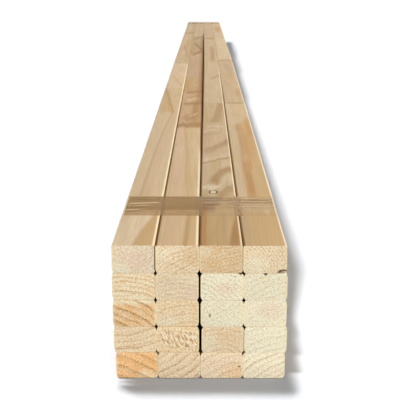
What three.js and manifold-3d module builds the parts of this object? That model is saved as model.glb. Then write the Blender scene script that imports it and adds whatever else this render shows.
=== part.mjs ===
import * as THREE from 'three';
import { mergeVertices } from 'three/addons/utils/BufferGeometryUtils.js';
import Module from 'manifold-3d';

// A bundle of finger-jointed pine studs, stacked flat in rows and held by two bands of clear
// packing tape. Millimetres, +Z up. The studs run along Y, with their front ends towards -Y.
// Rows are numbered from the top and columns from the left, as seen from the front.

// Stud
const studWidth = 42;
const studThickness = 28;
const studLength = 3600;
const arrisRadius = 3.2;
const arrisDivisions = 2;      // a quarter round gets twice as many facets
const crookSteps = 8;          // stations along a stud that follow its crook
const crookSkew = 0.8;         // below 1 puts the widest bow nearer the front end
const stationSkew = 1.35;      // above 1 sets the stations closer together near the front end

// Finger joints. The fingers lie across the thickness, so a joint is a zigzag on a narrow face
// and a straight line on a wide one. Its glue line stands open as a fine groove.
const fingerLength = 10;
const fingerPitch = 4.4;
const glueGrooveWidth = 0.7;
const glueGrooveDepth = 0.4;
const shortestBlock = 300;
const longestBlock = 820;
const blockRhythm = 0.618;     // spreads the lengths of the blocks evenly between those two

// Distances of the top row's joints from the front end, stud by stud.
const topRowJoints = [
  [752, 1080, 1565, 2735],
  [597, 1250, 1850, 2600],
  [858, 1210, 1790, 2450, 2850],
  [855, 1088, 1658, 2520],
];

// Stack
const columns = 4;
const sideGap = 0.1;           // between neighbours on one side of the middle seam
const stackGap = 0.2;          // between rows, where planed faces touch on their high spots
const endStagger = 0.25;       // how far the ends stand in or out of flush

// Each row from the top: how far it sits off centre, the width of its middle seam at the front,
// how far the studs left and right of that seam bow outwards, and how resinous each stud's wood is.
const rowLayout = [
  { shift: -0.2, middleSeam: 0.3, leftBow: 0.3, rightBow: 2.2, resin: [0.3, 0.5, 0.7, 0.35] },
  { shift: 0.1, middleSeam: 2.0, leftBow: 1.2, rightBow: 1.6, resin: [0.3, 0.4, 0.05, 0.15] },
  { shift: 0.2, middleSeam: 2.0, leftBow: 0.6, rightBow: 2.2, resin: [0.9, 0.45, 0.0, 0.15] },
  { shift: 0.8, middleSeam: 2.7, leftBow: 1.6, rightBow: 0.8, resin: [0.3, 0.65, 0.7, 0.1] },
  { shift: 0.9, middleSeam: 0.3, leftBow: 0.8, rightBow: 1.2, resin: [1.0, 0.25, 0.5, 0.2] },
];

// Chips broken out of a front end's long edges, each a hollow with its centre on the edge face.
const chipSegments = 14;
const chips = [
  { row: 1, column: 4, face: 'bottom', fromRight: 3.6, halfWidth: 4.2, halfHeight: 2.9, depth: 26 },
  { row: 2, column: 4, face: 'top', fromRight: 21.4, halfWidth: 1.8, halfHeight: 1.5, depth: 5 },
  { row: 2, column: 3, face: 'top', fromRight: 3.4, halfWidth: 1.6, halfHeight: 1.0, depth: 4 },
];

// Tape
const tapeWidth = 75;
const tapeThickness = 0.2;     // four turns of 0.05 mm film
const tapeClearance = 0.2;
const tapeFromEnd = 96;        // from the studs' ends to the nearer edge of each band

// Finishes
const paleSapwood = new THREE.Color('#efe6c6');
const resinousWood = new THREE.Color('#e6b377');
const tapeColour = new THREE.Color('#c9a878');

const rows = rowLayout.length;
const fingers = Math.max(1, Math.round((studThickness - 2 * arrisRadius) / fingerPitch));
const stations = Array.from(
  { length: crookSteps + 1 },
  (_, step) => studLength * (step / crookSteps) ** stationSkew,
);
const leftColumns = Math.floor(columns / 2);
const tapeStandoff = tapeClearance + tapeThickness;
const stackHeight = rows * studThickness + (rows - 1) * stackGap;

const wasm = await Module();
wasm.setup();

// Share of the full bow at a distance along the stud: none at the ends, all of it once between.
function bowCurve(distance) {
  return Math.sin(Math.PI * (distance / studLength) ** crookSkew) ** 2;
}

// The same on the stud's own skin, which runs straight from station to station.
function bowShare(distance) {
  const along = THREE.MathUtils.clamp(distance, 0, studLength);
  const next = Math.max(1, stations.findIndex((station) => station >= along));
  const [from, to] = [stations[next - 1], stations[next]];
  return THREE.MathUtils.mapLinear(along, from, to, bowCurve(from), bowCurve(to));
}

// Where a stud's axis is: its centre at the front end, and how far it bows along X.
function studPlace(row, column) {
  const { shift, middleSeam, leftBow, rightBow } = rowLayout[row];
  const onRight = column >= leftColumns;
  const rowWidth = columns * studWidth + (columns - 2) * sideGap + middleSeam;
  const pastSeam = onRight ? middleSeam - sideGap : 0;
  return {
    x: shift - rowWidth / 2 + studWidth / 2 + column * (studWidth + sideGap) + pastSeam,
    z: tapeStandoff + stackHeight - studThickness / 2 - row * (studThickness + stackGap),
    frontY: endStagger * Math.sin(2.1 * row + 3.7 * column),
    bow: onRight ? rightBow : -leftBow,
  };
}

// The planed section with its four eased arrises.
function studSection() {
  const side = studWidth / 2;
  const top = studThickness / 2;
  const r = arrisRadius;
  const section = new THREE.Shape();
  section.moveTo(r - side, -top);
  section.absarc(side - r, r - top, r, -Math.PI / 2, 0);
  section.absarc(side - r, top - r, r, 0, Math.PI / 2);
  section.absarc(r - side, top - r, r, Math.PI / 2, Math.PI);
  section.absarc(r - side, r - top, r, Math.PI, 1.5 * Math.PI);
  return section;
}

// A section drawn in X and Z, run back along +Y from Y = 0.
function extrudeBack(section, length, steps) {
  const options = { depth: length, steps, curveSegments: arrisDivisions, bevelEnabled: false };
  const geometry = new THREE.ExtrudeGeometry(section, options);
  return geometry.rotateX(Math.PI / 2).translate(0, length, 0);
}

// The planed stick, bowed sideways as it dried.
function studStick(bow) {
  const stick = extrudeBack(studSection(), studLength, crookSteps);
  const position = stick.getAttribute('position');
  for (let i = 0; i < position.count; i += 1) {
    const station = Math.round((position.getY(i) / studLength) * crookSteps);
    position.setY(i, stations[station]);
    position.setX(i, position.getX(i) + bow * bowCurve(stations[station]));
  }
  return stick;
}

function toSolid(geometry) {
  const bare = geometry.clone();
  bare.deleteAttribute('normal');
  bare.deleteAttribute('uv');
  const merged = mergeVertices(bare, 1e-5);
  const vertProperties = Float32Array.from(merged.getAttribute('position').array);
  const triVerts = Uint32Array.from(merged.getIndex().array);
  return new wasm.Manifold(new wasm.Mesh({ numProp: 3, vertProperties, triVerts }));
}

function toGeometry(solid) {
  const mesh = solid.getMesh();
  const geometry = new THREE.BufferGeometry();
  geometry.setAttribute('position', new THREE.BufferAttribute(mesh.vertProperties, 3));
  geometry.setIndex(new THREE.BufferAttribute(mesh.triVerts, 1));
  const faceted = geometry.toNonIndexed();
  faceted.computeVertexNormals();
  return faceted;
}

// The hollow that a chip leaves: half an ellipsoid on the stud's top or bottom face.
function chipHollow({ face, fromRight, halfWidth, halfHeight, depth }) {
  const hollow = new THREE.SphereGeometry(1, chipSegments, chipSegments);
  hollow.scale(halfWidth, depth, halfHeight);
  const level = face === 'top' ? studThickness / 2 : -studThickness / 2;
  return hollow.translate(studWidth / 2 - fromRight, 0, level);
}

// Where a stud's finger joints are, from its front end.
function jointDistances(row, column) {
  const last = studLength - shortestBlock;
  if (row === 0) return topRowJoints[column].filter((distance) => distance < last);
  const distances = [];
  let distance = shortestBlock;
  for (let block = row * columns + column; distance < last; block += 1) {
    distances.push(distance);
    distance += THREE.MathUtils.lerp(shortestBlock, longestBlock, (block * blockRhythm) % 1);
  }
  return distances;
}

// Half of a joint's line, outwards from the wide face: round one arris, then down the narrow face
// finger by finger. Each point has the way out of the wood and the way across the groove.
function jointHalf(distance, bow, sideSign, withTop, withSide) {
  const half = [];
  const across = studWidth / 2 - arrisRadius;
  const up = studThickness / 2 - arrisRadius;
  if (withTop) {
    for (const turn of [Math.PI / 2, Math.PI / 4]) {
      const out = new THREE.Vector3(sideSign * Math.cos(turn), 0, Math.sin(turn));
      const x = bow * bowShare(distance) + sideSign * across;
      const at = new THREE.Vector3(x, distance, up).addScaledVector(out, arrisRadius);
      half.push({ at, out, side: new THREE.Vector3(0, 1, 0) });
    }
  }
  if (withSide) {
    for (let i = 0; i <= 2 * fingers; i += 1) {
      const y = distance + (i % 2) * fingerLength;
      const z = THREE.MathUtils.lerp(up, -up, i / (2 * fingers));
      const at = new THREE.Vector3(bow * bowShare(y) + (sideSign * studWidth) / 2, y, z);
      const out = new THREE.Vector3(sideSign, 0, 0);
      half.push({ at, out, side: new THREE.Vector3(0, 0, 1) });
    }
  }
  return half;
}

// A fine V-shaped groove along a line: a hull from each of its points to the next. The V reaches
// as far out of the wood as into it, which doubles its width out there.
function glueGroove(line) {
  const corners = line.map(({ at, out, side }) => {
    const outside = at.clone().addScaledVector(out, glueGrooveDepth);
    return [
      at.clone().addScaledVector(out, -glueGrooveDepth).toArray(),
      outside.clone().addScaledVector(side, glueGrooveWidth).toArray(),
      outside.clone().addScaledVector(side, -glueGrooveWidth).toArray(),
    ];
  });
  const runs = corners.slice(1).map((to, i) => wasm.Manifold.hull([...corners[i], ...to]));
  return wasm.Manifold.union(runs);
}

// The grooves of a stud's joints on the faces of it that are open to view.
function glueGrooves(row, column, bow) {
  const withTop = row === 0;
  const lines = jointDistances(row, column).flatMap((distance) => {
    const left = jointHalf(distance, bow, -1, withTop, column === 0).reverse();
    const right = jointHalf(distance, bow, 1, withTop, column === columns - 1);
    return withTop ? [[...left, ...right]] : [left, right];
  });
  return lines.filter((line) => line.length > 0).map(glueGroove);
}

function studGeometry(row, column, bow) {
  const stick = studStick(bow);
  const broken = chips.filter((chip) => chip.row === row + 1 && chip.column === column + 1);
  const cutters = broken.map((chip) => toSolid(chipHollow(chip)));
  cutters.push(...glueGrooves(row, column, bow));
  if (cutters.length === 0) return stick;
  return toGeometry(toSolid(stick).subtract(wasm.Manifold.union(cutters)));
}

function studMesh(row, column) {
  const { x, z, frontY, bow } = studPlace(row, column);
  const { resin } = rowLayout[row];
  const material = new THREE.MeshStandardMaterial({ roughness: 0.62, metalness: 0 });
  material.color.lerpColors(paleSapwood, resinousWood, resin[column % resin.length]);
  const mesh = new THREE.Mesh(studGeometry(row, column, bow), material);
  mesh.name = `stud_row${row + 1}_col${column + 1}`;
  mesh.position.set(x, frontY, z);
  return mesh;
}

// Points round the four arrises of one stud at a station along Y, a distance outside its skin.
function arrisPoints(row, column, stationY, offset) {
  const { x, z, frontY, bow } = studPlace(row, column);
  const centreX = x + bow * bowShare(stationY - frontY);
  const facets = 4 * 2 * arrisDivisions;
  const reach = arrisRadius + offset;
  const points = [];
  for (const sideSign of [-1, 1]) {
    for (const topSign of [-1, 1]) {
      for (let i = 0; i < facets; i += 1) {
        const angle = (2 * Math.PI * i) / facets;
        const cornerX = centreX + sideSign * (studWidth / 2 - arrisRadius);
        const cornerZ = z + topSign * (studThickness / 2 - arrisRadius);
        points.push(new THREE.Vector2(cornerX + reach * Math.cos(angle), cornerZ + reach * Math.sin(angle)));
      }
    }
  }
  return points;
}

// The tight outline round a set of points, anticlockwise: what a stretched film takes.
function stretchedRound(points) {
  const sorted = [...points].sort((a, b) => a.x - b.x || a.y - b.y);
  const turn = (o, a, b) => (a.x - o.x) * (b.y - o.y) - (a.y - o.y) * (b.x - o.x);
  const halfHull = (run) => {
    const chain = [];
    for (const point of run) {
      while (chain.length > 1 && turn(chain.at(-2), chain.at(-1), point) <= 1e-6) chain.pop();
      chain.push(point);
    }
    return chain.slice(0, -1);
  };
  return [...halfHull(sorted), ...halfHull(sorted.reverse())];
}

// A band's outline round the whole stack, at a distance outside the studs' skin.
function bandOutline(fromY, toY, offset) {
  const points = [];
  for (let row = 0; row < rows; row += 1) {
    for (let column = 0; column < columns; column += 1) {
      for (const stationY of [fromY, toY]) {
        points.push(...arrisPoints(row, column, stationY, offset));
      }
    }
  }
  return stretchedRound(points);
}

// A band of tape: it bridges the grooves between studs and turns round the outer arrises.
function tapeMesh(name, fromY) {
  const toY = fromY + tapeWidth;
  const section = new THREE.Shape(bandOutline(fromY, toY, tapeStandoff));
  section.holes.push(new THREE.Path(bandOutline(fromY, toY, tapeClearance)));
  const material = new THREE.MeshStandardMaterial({
    color: tapeColour, roughness: 0.25, metalness: 0, transparent: true, opacity: 0.45,
  });
  const mesh = new THREE.Mesh(extrudeBack(section, tapeWidth, 1), material);
  mesh.name = name;
  mesh.position.y = fromY;
  return mesh;
}

const bundle = new THREE.Group();
for (let row = 0; row < rows; row += 1) {
  for (let column = 0; column < columns; column += 1) {
    bundle.add(studMesh(row, column));
  }
}
bundle.add(tapeMesh('tape_band_front', tapeFromEnd));
bundle.add(tapeMesh('tape_band_rear', studLength - tapeFromEnd - tapeWidth));

// The origin is in the middle of the bundle's footprint, on the surface that it lies on.
const extent = new THREE.Box3().setFromObject(bundle);
const middle = extent.getCenter(new THREE.Vector3());
bundle.position.set(-middle.x, -middle.y, -extent.min.z);

export default bundle;
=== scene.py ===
import math
import random
from collections import namedtuple

import bmesh
import bpy
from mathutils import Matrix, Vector


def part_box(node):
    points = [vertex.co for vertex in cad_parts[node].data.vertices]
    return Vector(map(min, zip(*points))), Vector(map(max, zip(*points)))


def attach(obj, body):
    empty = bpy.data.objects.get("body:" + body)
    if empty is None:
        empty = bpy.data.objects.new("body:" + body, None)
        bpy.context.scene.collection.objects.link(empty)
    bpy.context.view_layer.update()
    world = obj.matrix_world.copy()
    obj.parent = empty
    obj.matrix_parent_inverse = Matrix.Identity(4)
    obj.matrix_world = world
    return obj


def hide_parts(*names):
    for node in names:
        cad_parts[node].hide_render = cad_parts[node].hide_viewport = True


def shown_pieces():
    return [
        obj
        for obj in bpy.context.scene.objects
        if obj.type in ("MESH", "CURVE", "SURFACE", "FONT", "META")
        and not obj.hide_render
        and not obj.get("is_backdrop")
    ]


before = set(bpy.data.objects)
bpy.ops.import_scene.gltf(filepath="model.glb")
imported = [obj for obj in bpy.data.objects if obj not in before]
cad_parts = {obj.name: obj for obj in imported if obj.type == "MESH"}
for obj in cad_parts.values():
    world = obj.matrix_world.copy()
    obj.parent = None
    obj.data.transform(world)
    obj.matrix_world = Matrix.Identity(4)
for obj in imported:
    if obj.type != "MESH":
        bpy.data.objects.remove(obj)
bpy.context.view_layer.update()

bl_info = {
    "name": "Pine stud bundle",
    "version": (1, 0, 0),
    "blender": (4, 5, 0),
    "location": "3D View > Sidebar > Stud bundle",
    "description": "Dresses a taped bundle of finger-jointed pine studs",
    "category": "Object",
}

# The frame is in metres and Z up, with the studs along Y and their front ends towards -Y.
# Sizes here are in metres. Inside the materials they are in millimetres.
MM = 0.001
TO_MM = 1000.0
SNAP = 1e-5                 # places nearer than this are one place
SMOOTH_UP_TO = math.radians(32)         # edges sharper than this stay sharp
X, Y = 0, 1
ROWS = 5
COLUMNS = 4


def colour(code):
    """Red, green, blue and alpha of a colour written as #rrggbb, as light adds up."""
    channels = [int(code[i:i + 2], 16) / 255 for i in (1, 3, 5)]
    linear = [c / 12.92 if c <= 0.04045 else ((c + 0.055) / 1.055) ** 2.4 for c in channels]
    return (*linear, 1.0)


# ---------------------------------------------------------------------------- settings


def length_setting(name, description, default):
    return bpy.props.FloatProperty(
        name=name, description=description, default=default, min=0.0, subtype="DISTANCE",
        unit="LENGTH")


def share_setting(name, description, default):
    return bpy.props.FloatProperty(
        name=name, description=description, default=default, min=0.0, max=1.0, subtype="FACTOR")


def strength_setting(name, description, default):
    return bpy.props.FloatProperty(
        name=name, description="Strength of " + description, default=default, min=0.0)


def colour_setting(name, description, code):
    return bpy.props.FloatVectorProperty(
        name=name, description=description, default=colour(code), size=4, min=0.0, max=1.0,
        subtype="COLOR")


class StudSettings(bpy.types.PropertyGroup):
    arris: length_setting("Arris", "Radius of a stud's four long edges, across", 2.0 * MM)
    arris_stretch: bpy.props.FloatProperty(
        name="Arris stretch", description="How much taller than wide the long edges are worn",
        default=2.1, min=1.0)
    worn_arris: length_setting("Worn arris", "Radius of a top stud's upper right edge", 2.3 * MM)
    sharp_arris: length_setting("Sharp arris", "Radius of a top stud's upper left edge", 1.0 * MM)
    swelling: length_setting("Swelling", "How much wider than cut, so neighbours touch", 0.1 * MM)
    # Painted shade along the seams between the top studs, partly a stain beside the middle groove.
    seam: colour_setting("Seam", "Stained edges of the top studs", "#7e5119")
    # Painted shade: orange on the top studs' faces between studs, so the dim grooves read warm
    # brown.
    groove: colour_setting("Groove", "Faces that meet other studs", "#cf7c24")
    # Painted shade deep in the hollows between four studs.
    hollow: colour_setting("Hollow", "Deep between four studs", "#3a2a19")
    arris_facets: bpy.props.IntProperty(
        name="Arris facets", description="Facets round each long edge", default=5, min=2, max=12)
    easing: length_setting("End easing", "How far the sawn ends' edges are worn back", 0.2 * MM)
    finger_length: length_setting("Finger length", "Length of a finger joint's fingers", 10 * MM)
    finger_pitch: length_setting("Finger pitch", "Distance from one finger to the next", 4.4 * MM)
    pale: colour_setting("Pale wood", "Planed sapwood", "#ddc8a2")
    honey: colour_setting("Honey wood", "Planed wood with some resin", "#c8a26b")
    pink: colour_setting("Pink wood", "Planed wood with a pink cast", "#d9b695")
    late: colour_setting("Latewood", "Dark side of a growth ring on a planed face", "#a97845")
    # Also painted shade on the lower rows' left edges and on faces between studs.
    brown: colour_setting("Brown streak", "Darkened streaks in planed wood", "#a47644")
    orange: colour_setting("Resin streak", "Streaks full of resin", "#c58c50")
    grey: colour_setting("Dull mark", "Greyish marks on planed faces", "#ad9a80")
    # Also a painted highlight on the lower rows' right edges and the bundle's right outer edge.
    cream: colour_setting("Cream streak", "Light streaks in planed wood", "#f1e2c2")
    # Painted highlight along the long edges of the top studs, strongest on the right ones, partly
    # wear.
    burnish: colour_setting("Burnished edge", "Worn long edges of the top studs", "#fbe8c0")
    # Also painted shade in the chips' hollows and at a seam between front ends.
    dark: colour_setting("Bark brown", "Knot rims, pith flecks and torn hollows", "#5e3d1e")
    end_pale: colour_setting("Pale end grain", "Sawn sapwood end", "#f1edcf")
    end_honey: colour_setting("Honey end grain", "Sawn resinous end", "#e6ae67")
    end_pink: colour_setting("Pink end grain", "Sawn end with a pink cast", "#e5c8ae")
    end_light: colour_setting("Torn fibres", "Light flecks on a sawn end", "#fbf4dc")
    end_late: colour_setting("Latewood end grain", "Dark rings and flecks on a sawn end", "#a9773d")
    # Painted highlight towards the sides of each sawn end, along the seams between ends.
    end_edge_highlight: colour_setting("Burnished rim", "Where a sawn end is rubbed at its sides", "#f3e0b4")
    end_pore: colour_setting("Pores", "Greyish pores on a sawn end", "#ae9876")


class TapeSettings(bpy.types.PropertyGroup):
    film: length_setting("Film", "Thickness of one turn of film", 0.05 * MM)
    wrinkle: length_setting("Wrinkle", "Height of the wrinkles in the film", 0.16 * MM)
    overlap: length_setting("Overlap", "How far the second turn lies behind the first", 22 * MM)
    skew: bpy.props.FloatProperty(
        name="Skew", description="How much a turn slants across the bundle", default=0.014)
    amber: colour_setting("Amber", "Thick adhesive, on the left", "#ba8e44")
    clear: colour_setting("Clear", "Thin adhesive, on the right", "#c49a6a")
    haze: colour_setting("Haze", "Where the film has lifted off the wood", "#b39a80")
    # Painted highlight on the creases of the film.
    light: colour_setting("Crease", "Creases in the film", "#f6dca6")
    brown: colour_setting("Fold", "Doubled film", "#94662e")
    pale_smear: colour_setting("Pale smear", "Thin adhesive over the right groove", "#cfa66e")
    smear: colour_setting("Smear", "Adhesive over the grooves between studs", "#b68c54")
    cover: share_setting("Cover", "How much of the wood one wall of thin film hides", 0.045)
    thick_cover: share_setting("Thick cover", "How much of it one wall of thick film hides", 0.25)


class StageSettings(bpy.types.PropertyGroup):
    floor_colour: colour_setting("Floor colour", "Plain pale floor", "#a8aaae")
    floor_bounce: colour_setting("Floor bounce", "What it throws back on the bundle", "#6e6e6e")
    lens: bpy.props.FloatProperty(
        name="Lens", description="Focal length of the camera", default=70.24, min=1.0,
        subtype="DISTANCE_CAMERA")
    key: strength_setting("Key light", "the low lamp at the front right", 3.5)
    top: strength_setting("Top light", "the soft lamp overhead", 0.2)
    rear: strength_setting("Rear light", "the soft lamp behind", 0.6)
    left: strength_setting("Left light", "the soft lamp on the left", 0.9)
    fill: strength_setting("Fill", "the soft light from all round", 0.24)
    floor_light: strength_setting("Floor light", "what a plot's own lamps lay on it", 5.95)
    floor_fill: strength_setting("Floor fill", "the lamp that lifts the floor's shadow", 1.5)


# ---------------------------------------------------------------------------- mesh helpers


def deselect():
    if bpy.context.mode != "OBJECT":
        bpy.ops.object.mode_set(mode="OBJECT")
    bpy.ops.object.select_all(action="DESELECT")


def activate(obj):
    deselect()
    obj.select_set(True)
    bpy.context.view_layer.objects.active = obj


def edit(obj):
    activate(obj)
    bpy.ops.object.mode_set(mode="EDIT")
    bpy.ops.mesh.select_all(action="DESELECT")


def pick(obj, kind, test):
    """Selects the verts, edges or faces of the mesh in edit mode that pass a test."""
    bpy.ops.mesh.select_mode(type={"verts": "VERT", "edges": "EDGE", "faces": "FACE"}[kind])
    bpy.ops.mesh.select_all(action="DESELECT")
    mesh = bmesh.from_edit_mesh(obj.data)
    for item in [item for item in getattr(mesh, kind) if test(item)]:
        item.select_set(True)
    mesh.select_flush_mode()
    bmesh.update_edit_mesh(obj.data)


def cut_across(point, normal):
    bpy.ops.mesh.select_all(action="SELECT")
    bpy.ops.mesh.bisect(plane_co=point, plane_no=normal)


def apply_place(obj):
    activate(obj)
    bpy.ops.object.transform_apply(location=True, rotation=True, scale=True)


def copy_of(obj, name):
    activate(obj)
    bpy.ops.object.duplicate(linked=False)
    made = bpy.context.active_object
    made.name = name
    made.data.name = name
    return made


def remove(obj):
    activate(obj)
    bpy.ops.object.delete()


def finish_piece(obj, material, slot, node):
    activate(obj)
    bpy.ops.object.shade_smooth_by_angle(angle=SMOOTH_UP_TO)
    obj.data.materials.clear()
    obj.data.materials.append(material)
    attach(obj, "root")
    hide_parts(node)


# ---------------------------------------------------------------------------- shader helpers


class Amount:
    """A number that varies over a surface. Arithmetic on it adds Math nodes."""

    def __init__(self, maker, socket):
        self.maker = maker
        self.socket = socket

    def __add__(self, other):
        return self.maker.maths("ADD", self, other)

    __radd__ = __add__

    def __sub__(self, other):
        return self.maker.maths("SUBTRACT", self, other)

    def __rsub__(self, other):
        return self.maker.maths("SUBTRACT", other, self)

    def __mul__(self, other):
        return self.maker.maths("MULTIPLY", self, other)

    __rmul__ = __mul__

    def __truediv__(self, other):
        return self.maker.maths("DIVIDE", self, other)

    def __pow__(self, other):
        return self.maker.maths("POWER", self, other)


class Maker:
    """Builds one material or world from nodes."""

    def __init__(self, owner):
        self.owner = owner
        owner.use_nodes = True
        self.tree = owner.node_tree
        self.tree.nodes.clear()

    def feed(self, socket, value):
        if isinstance(value, Amount):
            self.tree.links.new(value.socket, socket)
        elif isinstance(value, bpy.types.NodeSocket):
            self.tree.links.new(value, socket)
        else:
            socket.default_value = value

    def node(self, kind, settings=None, inputs=None):
        """A node of a kind, with its settings and then the values or links of its sockets."""
        made = self.tree.nodes.new(kind)
        for key, value in (settings or {}).items():
            if key == "stops":
                self.set_stops(made.color_ramp, value)
            elif key == "interpolation":
                made.color_ramp.interpolation = value
            else:
                setattr(made, key, value)
        for key, value in (inputs or {}).items():
            self.feed(made.inputs[key], value)
        return made

    @staticmethod
    def set_stops(ramp, stops):
        for _ in stops[2:]:
            ramp.elements.new(0.5)
        for place, (position, value) in enumerate(stops):
            ramp.elements[place].position = position
            ramp.elements[place].color = value

    def maths(self, operation, *values, clamp=False):
        inputs = dict(enumerate(values))
        made = self.node("ShaderNodeMath", {"operation": operation, "use_clamp": clamp}, inputs)
        return Amount(self, made.outputs[0])

    def clamped(self, value):
        return self.maths("ADD", value, 0.0, clamp=True)

    def step(self, value, low, high):
        """0 below low and 1 above high, smooth between. Turned round if low is above high."""
        inputs = {"Value": value, "From Min": low, "From Max": high}
        made = self.node("ShaderNodeMapRange", {"interpolation_type": "SMOOTHSTEP"}, inputs)
        return Amount(self, made.outputs[0])

    def window(self, value, low, high, soft):
        """1 between low and high, 0 outside. An open side is None."""
        parts = []
        if low is not None:
            parts.append(self.step(value, low - soft / 2, low + soft / 2))
        if high is not None:
            parts.append(self.step(value, high + soft / 2, high - soft / 2))
        if not parts:
            return 1.0
        return parts[0] if len(parts) == 1 else parts[0] * parts[1]

    def noise(self, x, y, z, detail=2.0, roughness=0.5):
        """Smooth noise from -1 to 1."""
        place = self.node("ShaderNodeCombineXYZ", inputs={0: x, 1: y, 2: z}).outputs[0]
        inputs = {"Vector": place, "Scale": 1.0, "Detail": detail, "Roughness": roughness}
        made = self.node("ShaderNodeTexNoise", {"noise_dimensions": "3D"}, inputs)
        return Amount(self, made.outputs[0]) * 2.0 - 1.0

    def ramp(self, factor, stops, interpolation="LINEAR"):
        settings = {"stops": stops, "interpolation": interpolation}
        return self.node("ShaderNodeValToRGB", settings, {0: factor})

    def split(self, socket):
        made = self.node("ShaderNodeSeparateXYZ", inputs={0: socket})
        return [Amount(self, output) for output in made.outputs]

    def mix(self, factor, first, second):
        settings = {"data_type": "RGBA", "clamp_factor": True}
        return self.node("ShaderNodeMix", settings, {0: factor, 6: first, 7: second}).outputs[2]

    def mix_value(self, factor, first, second):
        """Between two numbers, first at 0 and second at 1."""
        inputs = {0: factor, 2: first, 3: second}
        return Amount(self, self.node("ShaderNodeMix", {"data_type": "FLOAT"}, inputs).outputs[0])

    def scaled(self, tint, amount):
        settings = {"operation": "SCALE"}
        return self.node("ShaderNodeVectorMath", settings, {0: tint, "Scale": amount}).outputs[0]

    def surface(self, tint, rough, shine, relief, strength, distance, **others):
        """A material with a colour, a roughness and a fine relief."""
        bump = self.node("ShaderNodeBump", inputs={
            "Strength": strength, "Distance": distance, "Height": relief})
        return self.output(self.node("ShaderNodeBsdfPrincipled", inputs={
            "Base Color": tint, "Roughness": rough, "Specular IOR Level": shine,
            "Normal": bump.outputs[0], **others}))

    def output(self, shader, kind="Material"):
        self.node("ShaderNodeOutput" + kind, inputs={"Surface": shader.outputs[0]})
        return self.owner


# ---------------------------------------------------------------------------- the wood

WHOLE = 0.995               # a cross-section this wide is cut by no groove or chip


class Stud:
    """Where one stud is, read from its CAD node."""

    def __init__(self, row, column):
        self.row = row
        self.column = column
        self.node = f"stud_row{row}_col{column}"
        self.name = f"pine_stud_{row}_{column}"
        low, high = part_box(self.node)
        self.front = low.y
        self.length = high.y - low.y
        self.middle_z = (low.z + high.z) / 2
        self.thickness = high.z - low.z
        levels = {}
        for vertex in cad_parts[self.node].data.vertices:
            levels.setdefault(round(vertex.co.y, 5), []).append(vertex.co.x)
        spans = {y: (min(xs), max(xs)) for y, xs in levels.items()}
        self.width = spans[min(spans)][1] - spans[min(spans)][0]
        whole = {y: s for y, s in spans.items() if s[1] - s[0] > WHOLE * self.width}
        self.stations = [(y - self.front, (s[0] + s[1]) / 2) for y, s in sorted(whole.items())]
        self.middle_x = self.stations[0][1]


Log = namedtuple("Log", "pith pitch figure resin pink shade through", defaults=(1.02, None))
Block = namedtuple("Block", "start pith lean pitch phase figure resin pink shade")

# How each front end was sawn out of its tree: in millimetres the pith's place from the middle of
# the end and the distance between rings, then how dark the rings are, the shares of resin and of
# pink, the shade, and in millimetres a point that a dark ring goes through.
# The shade also holds painted light: the bottom row's is raised to make up for the dimmer light
# near the floor.
LOGS = {
    (1, 1): Log((-50, -95), 5, 0.18, 0.16, 0.70, 0.98),
    (1, 2): Log((38, -62), 3.6, 0.36, 0.42, 0.25),
    (1, 3): Log((34, -66), 3.4, 0.32, 0.62, 0.05, 0.925),
    (1, 4): Log((-60, -40), 3, 0.38, 0.38, 0.26),
    (2, 1): Log((-14, -95), 4.6, 0.52, 0.40, 0.05, 1.08),
    (2, 2): Log((6, -48), 4.8, 0.22, 0.34, 0.30, 1.01),
    (2, 3): Log((-44, -62), 4.4, 0.26, 0.00, 0.10, 1.07),
    (2, 4): Log((38, -70), 5, 0.16, 0.04, 0.08, 1.02),
    (3, 1): Log((-47, -99), 6.4, 0.80, 0.76, 0.05, 1.07, (-1, -7)),
    (3, 2): Log((16, -78), 4.4, 0.26, 0.48, 0.10, 1.03),
    (3, 3): Log((-30, 44), 5.2, 0.12, 0.05, 0.05),
    (3, 4): Log((44, -80), 6, 0.10, 0.00, 0.20, 1.07),
    (4, 1): Log((-24, 103), 7.6, 0.38, 0.44, 0.22, 1.08, (2, -9)),
    (4, 2): Log((-14, -90), 5.6, 0.30, 0.54, 0.00, 1.1),
    (4, 3): Log((0, -24), 5.2, 0.20, 0.42, 0.40),
    (4, 4): Log((42, -84), 6, 0.16, 0.00, 0.08, 1.08),
    (5, 1): Log((-45, -108), 10.2, 0.70, 1.00, 0.20, 1.22, (-7, 6)),
    (5, 2): Log((-62, 72), 6.8, 0.46, 0.40, 0.48, 1.1, (3, -3)),
    (5, 3): Log((34, -82), 7.4, 0.30, 0.34, 0.64, 1.16),
    (5, 4): Log((58, -84), 5.6, 0.46, 0.00, 0.30, 1.18, (-7, 10)),
}

# Where the top studs are finger-jointed, in millimetres behind the front end, and the resin,
# pink, ring darkness and shade of the block behind each joint.
TOP_BLOCKS = {
    1: [(752, 0.50, 0.20, 0.35, 1.0), (1080, 0.25, 0.75, 0.20, 1.02),
        (1565, 0.45, 0.35, 0.30, 0.93), (2735, 0.30, 0.45, 0.30, 0.84)],
    2: [(597, 0.85, 0.35, 0.55, 0.95), (1250, 0.55, 0.45, 0.45, 0.90),
        (1850, 0.70, 0.35, 0.40, 0.82), (2600, 0.40, 0.45, 0.30, 0.86)],
    3: [(858, 0.35, 0.45, 0.25, 0.94), (1210, 0.40, 0.60, 0.20, 0.94),
        (1790, 0.45, 0.45, 0.25, 0.91), (2450, 0.40, 0.50, 0.35, 0.88),
        (2850, 0.40, 0.30, 0.30, 0.88)],
    4: [(855, 0.45, 0.45, 0.25, 0.95), (1088, 0.50, 0.50, 0.30, 0.95),
        (1658, 0.20, 0.50, 0.20, 1.01), (2520, 0.30, 0.40, 0.30, 0.98)],
}

# Where the joints of the lower rows stand, in millimetres.
STUD_LENGTH = 3600
SHORTEST_BLOCK = 300
LONGEST_BLOCK = 820
BLOCK_RHYTHM = 0.618        # spreads the lengths of the blocks evenly between those two

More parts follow.
